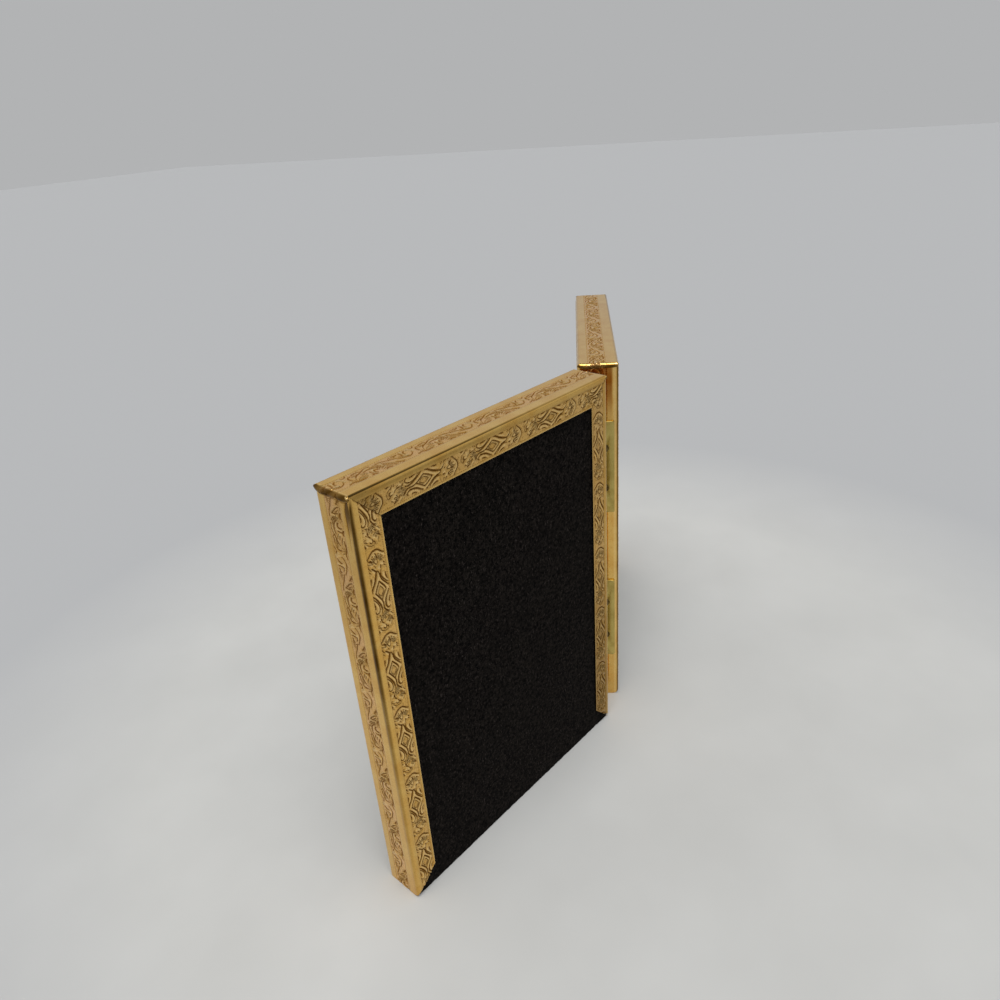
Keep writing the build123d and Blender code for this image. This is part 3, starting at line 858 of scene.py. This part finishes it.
def mark_hinge(strip):
    """Painted light on the hinge rail: an amber reflection above the upper hinge, a highlight line and a dark
    line by the back bend, and painted shade on the back flange, darker towards the foot.
    """
    t, y = strip.t, strip.y
    behind = (y > front_radius) & (strip.x < back_width / 2)
    # An amber reflection of the other leaf's wall, painted above the upper hinge
    strip.lacquer = np.where(behind, fall(y, amber_edge, 0.7), 0) * rise(t, amber_from, amber_over)
    # A painted highlight line beside the back bend
    wear_and_highlight = behind & (y > highlight_line[0]) & (y < highlight_line[1])
    strip.crest = np.where(wear_and_highlight, 0.55, strip.crest)
    # Painted shade: a dark line at the back bend, and the back flange darker towards the foot
    strip.bend = np.where(behind, rise(y, dark_line, 0.4) * back_bend(strip), 0)
    darker_towards_foot = np.interp(t, hinge_shade_lengths, hinge_shades)
    strip.bend = np.where(strip.zone == ON_BACK, darker_towards_foot, strip.bend)
    round_foot(strip, foot_first=True)


def round_foot(strip, foot_first):
    """Rounds a side rail's back bend off at the foot, and stains the line of the mitre at its top."""
    beyond_front = rise(strip.y, foot_front, leaf_depth - foot_front)
    raised = beyond_front ** 2 * np.clip(1 - strip.x / foot_inward, 0, 1) * foot_rounding
    from_foot = strip.t if foot_first else strip.length - strip.t
    raised = raised * (1 - np.clip(from_foot / foot_reach, 0, 1))
    strip.t = strip.t + raised * (1 if foot_first else -1)
    from_mitre = strip.high - strip.t if foot_first else strip.t - strip.low
    stained = np.where(strip.zone == ON_BACK, soft_line(from_mitre, 0, mitre_line), 0)
    strip.recess = np.maximum(strip.recess, stained)


def fold_tabs(strip, inward, along):
    """Folds the wall's sheet over both ends, and paints light on it: a painted highlight on the bend, painted
    shade below it, also laid into the stain, and a painted highlight dot.
    """
    for sign, end in ((-1, tab_start), (1, strip.length - tab_start)):
        beyond = sign * (strip.t - end)
        over = strip.wall & (beyond > 0)
        beyond, y = beyond[over], strip.y[over]
        radius = np.interp(y, tab_places, tab_radii)
        turned = beyond / radius
        strip.run[over] = end + sign * radius * np.sin(turned)
        strip.drop[over] = radius * (1 - np.cos(turned))
        strip.normal[over] = -inward * np.cos(turned)[:, None] + along * sign * np.sin(turned)[:, None]
        widening = tab_widening + fall(y, tab_middle, tab_front_reach) * tab_front_widening
        y = tab_middle + (y - tab_middle) * (1 + widening * np.clip(beyond / tab_flare, 0, 1))
        strip.y[over] = y
        # Painted shade below the bend, uneven along the tab, and also laid into the stain
        uneven_shade = 0.82 + 0.18 * np.sin(y * 0.8 + 1.3 * turned)
        dark = rise(turned, tab_shaded_from[sign], 0.25) * (1 - 0.5 * strip.crest[over]) * uneven_shade
        # A painted highlight dot near the tab's back end
        dot = np.hypot(beyond - dot_place[0], y - dot_place[1]) < dot_radius
        strip.bend[over] = np.where(dot, 0, dark)
        strip.recess[over] = np.where(dot, 0, np.maximum(strip.recess[over], 0.6 * dark))
        # A painted highlight along the top of the bend
        wear_and_highlight = soft_line(turned, 0.1, 0.18) * 0.8
        strip.crest[over] = np.where(dot, 1, np.maximum(strip.crest[over], wear_and_highlight))


def panels(strip, corners):
    """0 or 1 for each face: flat stretches of the section that lie side by side are odd and even in turn."""
    out = strip.columns[:, 2:4]
    level = (out[1:] == out[:-1]).all(1)
    panel = np.cumsum(np.append(0, ~(level[1:] & level[:-1])))
    col, row = strip.col[corners].min(1), strip.row[corners].min(1)
    past_end = np.maximum(strip.extra - row, 0) + np.maximum(row - (strip.extra + strip.rows - 1), 0)
    on_wall = strip.columns[col, 4] == ON_WALL
    return (panel[col] + np.where(on_wall, past_end, 0)) % 2


def unwanted(strip, corners, placed):
    """Faces without area past the mitres, and those that would join a tab to the folds beside it."""
    p = placed[corners]
    area = np.linalg.norm(np.cross(p[:, 2] - p[:, 0], p[:, 3] - p[:, 1]), axis=1) / 2
    gone = area < no_area
    if strip.extra:
        half_step = (strip.steps[1] - strip.steps[0]) / 2
        beside = strip.wall[corners].any(1) & ~strip.wall[corners].all(1)
        t = strip.steps[strip.row[corners]]
        gone |= beside & ((t.max(1) <= half_step) | (t.min(1) >= strip.length - half_step))
    return gone


def turn_outwards(piece, back):
    """Turns the faces outwards, judged by the back flange or, where there is none, by the front face."""
    mesh = piece.data
    first_point = read(mesh.loops, "vertex_index", int)[read(mesh.polygons, "loop_start", int)]
    points = read(mesh.vertices, "co", width=3)[first_point]
    depth = (points / MM - axis_foot) @ BACK - axis_ahead
    judged = np.abs(depth - (leaf_depth if back else 0)) < 0.01
    facing = read(mesh.polygons, "normal", width=3)[judged] @ BACK
    if (facing.mean() > 0) != back:
        edit(piece, (bpy.ops.mesh.flip_normals, {}))


def thicken(piece):
    """Gives the strip the sheet's thickness, raises the pattern outside and leaves the inner face plain."""
    outer = read(piece.data.vertices, "co", width=3)
    count = len(outer)
    apply(piece, "SOLIDIFY", thickness=sheet * MM, offset=-1)
    mesh = piece.data
    outward = read(mesh.attributes["outward"].data, "vector", width=3)[:count]
    outward = outward / np.linalg.norm(outward, axis=1)[:, None]
    height = read(mesh.attributes["height"].data, "value")[:count]
    raised = outer + outward * (height * MM)[:, None]
    inner = outer - outward * (sheet * MM)
    mesh.vertices.foreach_set("co", np.concatenate([raised, inner]).ravel())
    take_off(mesh, "outward", "height")
    corner_inside = (read(mesh.loops, "vertex_index", int) >= count).astype(int)
    corners_inside = np.add.reduceat(corner_inside, read(mesh.polygons, "loop_start", int))
    wholly_inside = corners_inside == read(mesh.polygons, "loop_total", int)
    mesh.polygons.foreach_set("use_smooth", (corners_inside == 0) | wholly_inside)
    store(mesh, "inside", "BOOLEAN", "FACE", wholly_inside)
    # Each plain stretch of the inner face becomes one face: the even ones first, and then the odd ones
    for turn in (0, 1):
        inside = read(mesh.attributes["inside"].data, "value", bool)
        odd = read(mesh.attributes["odd_panel"].data, "value", int)
        edit(piece, (bpy.ops.mesh.dissolve_faces, {"use_verts": turn == 1}), faces=inside & (odd == turn))
    take_off(mesh, "inside", "odd_panel")


def rail(name, start, inward, along, length, ends, phases, back=True, sense=1, stretch=1.0, marks=None,
         tabs=False):
    """One rail of the right leaf: a flat grid, embossed, folded to the section, mitred and thickened."""
    start, inward, along = (np.array(v, float) for v in (start, inward, along))
    strip = laid_strip(name, length, ends, back, tabs)
    for zone, phase in enumerate(phases):
        here = strip.zone == zone
        found = relief(zone, strip.across[here], (strip.t[here] - phase) * sense / stretch)
        strip.height[here], strip.recess[here], strip.crest[here], strip.band[here] = found
    if marks:
        marks(strip)
    # A painted highlight along the back flange's free edge
    edge = (strip.zone == ON_BACK) & (strip.x > back_width - bright_edge)
    strip.crest = np.where(edge, 1, strip.crest)

    strip.run, strip.drop = strip.t.copy(), strip.x.copy()
    backward = np.array([0, 1.0, 0])
    strip.normal = inward * strip.out_x[:, None] + backward * strip.out_y[:, None]
    if tabs:
        fold_tabs(strip, inward, along)
    points = start + inward * strip.drop[:, None] + along * strip.run[:, None] + backward * strip.y[:, None]
    placed = place(points)
    piece, mesh = strip.piece, strip.piece.data
    mesh.vertices.foreach_set("co", placed.ravel())
    for look in ("recess", "crest", "band", "bend", "lacquer", "height"):
        store(mesh, look, "FLOAT", "POINT", getattr(strip, look))
    store(mesh, "outward", "FLOAT_VECTOR", "POINT", strip.normal @ LEAF_AXES)
    corners = read(mesh.loops, "vertex_index", int).reshape(-1, 4)
    store(mesh, "odd_panel", "INT", "FACE", panels(strip, corners))
    edit(piece, (bpy.ops.mesh.delete, {"type": "FACE"}), faces=unwanted(strip, corners, placed))
    edit(piece, (bpy.ops.mesh.remove_doubles, {"threshold": grid_weld * MM}))
    turn_outwards(piece, back)
    thicken(piece)
    return piece


# Pieces in the scene

gilt = gilt_sheet()


def settle(piece, node_name, body, material):
    """Gives a finished piece its material and body, and hides the CAD node that it stands for."""
    piece.data.materials.clear()
    piece.data.materials.append(material)
    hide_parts(node_name)
    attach(piece, body)


def mirrored(piece, name):
    """The same piece on the left leaf."""
    copy = piece.copy()
    copy.data = piece.data.copy()
    copy.name = copy.data.name = name
    bpy.context.scene.collection.objects.link(copy)
    copy.data.transform(Matrix.Scale(-1, 4, (1, 0, 0)))
    copy.data.flip_normals()
    return copy


def both(piece, name, material, part="leaf"):
    """Settles a right-hand piece and its mirror image in place of the CAD nodes of that name."""
    left = mirrored(piece, f"left_{name}_visual")
    settle(piece, f"right_{name}", f"right_{part}", material)
    settle(left, f"left_{name}", f"left_{part}", material)
    return piece, left


def tucked(x):
    """A mitred end that stops inside the next rail: how much shorter the strip is at the depth x."""
    return np.maximum(sheet + seam, x + seam)


def lapped(x):
    """A mitred end whose wall runs on over the next rail's end."""
    return np.where(x > sheet, x, 0)


# Phases: where a repeat's own start stands on the front, the wall and the back
RAILS = {
    "outer_rail": dict(
        start=(leaf_width, 0, leaf_height), inward=(-1, 0, 0), along=(0, 0, -1), length=leaf_height,
        ends=(tucked, lapped), phases=(30.0, 7.6, 38.5), marks=mark_outer),
    "hinge_rail": dict(
        start=(0, 0, 0), inward=(1, 0, 0), along=(0, 0, 1), length=leaf_height,
        ends=(lapped, tucked), phases=(25.0, 176.0, 159.0), sense=-1, marks=mark_hinge),
    "top_rail": dict(
        start=(0, 0, leaf_height), inward=(0, 0, -1), along=(1, 0, 0), length=leaf_width,
        ends=(lapped, lapped), phases=(35.7, 25.0, 38.6), stretch=1.027, marks=mark_top, tabs=True),
    "bottom_rail": dict(
        start=(leaf_width, 0, 0), inward=(0, 0, 1), along=(-1, 0, 0), length=leaf_width,
        ends=(tucked, tucked), phases=(35.7, 12.0), back=False),
}
for name, shape in RAILS.items():
    both(rail(f"right_{name}_visual", **shape), name, gilt)


# Felt on the sliding backs

felt_cell = 1.1
felt_waves = 90
felt_wave = 0.14
wave_reach = 4.0
felt_nap = 0.06
felt_lumps = 0.05
felt_width = leaf_width - 2 * board_side
felt_height = board_top - board_foot


def felt_sheet():
    """The felt's flat sheet: a grid with a soft nap, a little ragged at its free edge."""
    across, upward = round(felt_width / felt_cell), round(felt_height / felt_cell)
    piece, share = flat_grid("right_back_felt_visual", across, upward)
    x = board_side + share[:, 0] * felt_width
    z = board_foot + share[:, 1] * felt_height
    ragged = np.interp(x, np.linspace(0, leaf_width, felt_waves), rng.normal(0, felt_wave, felt_waves))
    z = z + ragged * np.clip(1 - (z - board_foot) / wave_reach, 0, 1)
    y = felt_back - felt_nap + felt_lumps * rng.normal(0, 1, len(x)).clip(-1.5, 1.5)
    mesh = piece.data
    mesh.vertices.foreach_set("co", place(np.stack([x, y, z], 1)).ravel())
    if Vector(BACK).dot(mesh.polygons[0].normal) < 0:
        edit(piece, (bpy.ops.mesh.flip_normals, {}))
    apply(piece, "SOLIDIFY", thickness=(felt_back - felt_front - felt_nap) * MM, offset=-1)
    take(piece)
    bpy.ops.object.shade_smooth_by_angle(angle=radians(50))
    return piece


felt_pieces = both(felt_sheet(), "back_felt", black_felt(), part="back")


# Hinges: the solids' own shapes with their edges eased

solid_weld = 0.002


def eased(node_name, body, material, width):
    """A copy of a CAD node with its triangles merged and its edges rounded."""
    source = frame["nodes"][node_name]
    piece = bpy.data.objects.new(f"{node_name}_visual", source.data.copy())
    bpy.context.scene.collection.objects.link(piece)
    edit(piece, (bpy.ops.mesh.remove_doubles, {"threshold": solid_weld * MM}),
         (bpy.ops.mesh.dissolve_limited, {"angle_limit": radians(1)}))
    apply(piece, "BEVEL", width=width * MM, segments=2, limit_method="ANGLE", angle_limit=radians(40))
    take(piece)
    bpy.ops.object.shade_smooth_by_angle(angle=radians(35))
    settle(piece, node_name, body, material)


brass, rivet = plate_brass(), rivet_metal()
for level in ("upper", "lower"):
    for side in ("right", "left"):
        eased(f"{side}_{level}_hinge_plate", f"{side}_leaf", brass, 0.15)
    eased(f"{level}_hinge_pin", "right_leaf", brass, 0.05)
for side in ("right", "left"):
    eased(f"{side}_hinge_rivets", f"{side}_leaf", rivet, 0.05)

# Flat pieces that keep their solids
FLAT_PIECES = {"glass": float_glass(), "photo_insert": insert_paper(), "filler_pad": grey_card(),
               "back_board": hardboard()}
for name, material in FLAT_PIECES.items():
    for side in ("right", "left"):
        held = frame["nodes"][f"{side}_{name}"].data
        held.materials.clear()
        held.materials.append(material)

# Camera: behind the right leaf, as the photograph was taken
image_size = 1000
focal_pixels = 769.8
turns = ((115.351, "Z"), (63.162, "X"), (-4.388, "Z"))
from_axis = (0.31568, 0.10773, 0.29402)

lens = bpy.data.cameras.new("camera")
lens.sensor_width = 36
lens.lens = focal_pixels / image_size * lens.sensor_width
camera = bpy.data.objects.new("camera", lens)
bpy.context.scene.collection.objects.link(camera)
aim = Matrix.Identity(4)
for angle, axis in turns:
    aim = aim @ Matrix.Rotation(radians(angle), 4, axis)
camera.matrix_world = Matrix.Translation(Vector(from_axis) + Vector(axis_foot * MM)) @ aim
bpy.context.scene.camera = camera

# Studio: a pale floor that darkens a little far behind, as a backdrop does, and one large soft lamp.
# The world is pale at eye level and darker overhead, so that the metal shows both.
pale_radius = 0.29
pale_softness = 0.07

bpy.ops.mesh.primitive_plane_add(size=12, location=(0, 0, 0))
floor = bpy.context.object
floor.name = floor.data.name = "studio_floor"
paper, tree, surface = new_material("studio_floor_paper", {"Roughness": 0.9, "Specular IOR Level": 0.1})
away = node(tree, "VectorMath", (node(tree, "TexCoord", output="Object"),), "Value", operation="LENGTH")
behind = node(tree, "MapRange", (away, pale_radius - pale_softness, pale_radius + pale_softness))
cloudy = node(tree, "MapRange", (grain(tree, 60.0), 0.3, 0.7))
wire(surface, {"Base Color": coated(tree, "#CBCBC8", (cloudy, "#D1D1CE"), (behind, "#BBBCBD"))})
floor.data.materials.append(paper)

world = bpy.data.worlds.new("studio")
bpy.context.scene.world = world
world.use_nodes = True
tree = world.node_tree
way = node(tree, "TexCoord", output="Generated")
steepness = node(tree, "SeparateXYZ", (way,), "Z")
above_eye = node(tree, "MapRange", (steepness, 0.12, 0.4))
overhead = node(tree, "MapRange", (steepness, 0.55, 0.87))
around = coated(tree, "#B2B3B4", (above_eye, "#C9CACB"), (overhead, "#5A5B5E"))
wire(tree.nodes["Background"], {"Color": around})

lamp = bpy.data.lights.new("ceiling", "SUN")
lamp.energy = 2.05
lamp.angle = radians(44)
ceiling = bpy.data.objects.new("ceiling", lamp)
bpy.context.scene.collection.objects.link(ceiling)
ceiling.rotation_mode = "QUATERNION"
ceiling.rotation_quaternion = Vector((-0.25, -0.15, -1)).to_track_quat("-Z", "Y")

bpy.context.scene.view_settings.view_transform = "Standard"
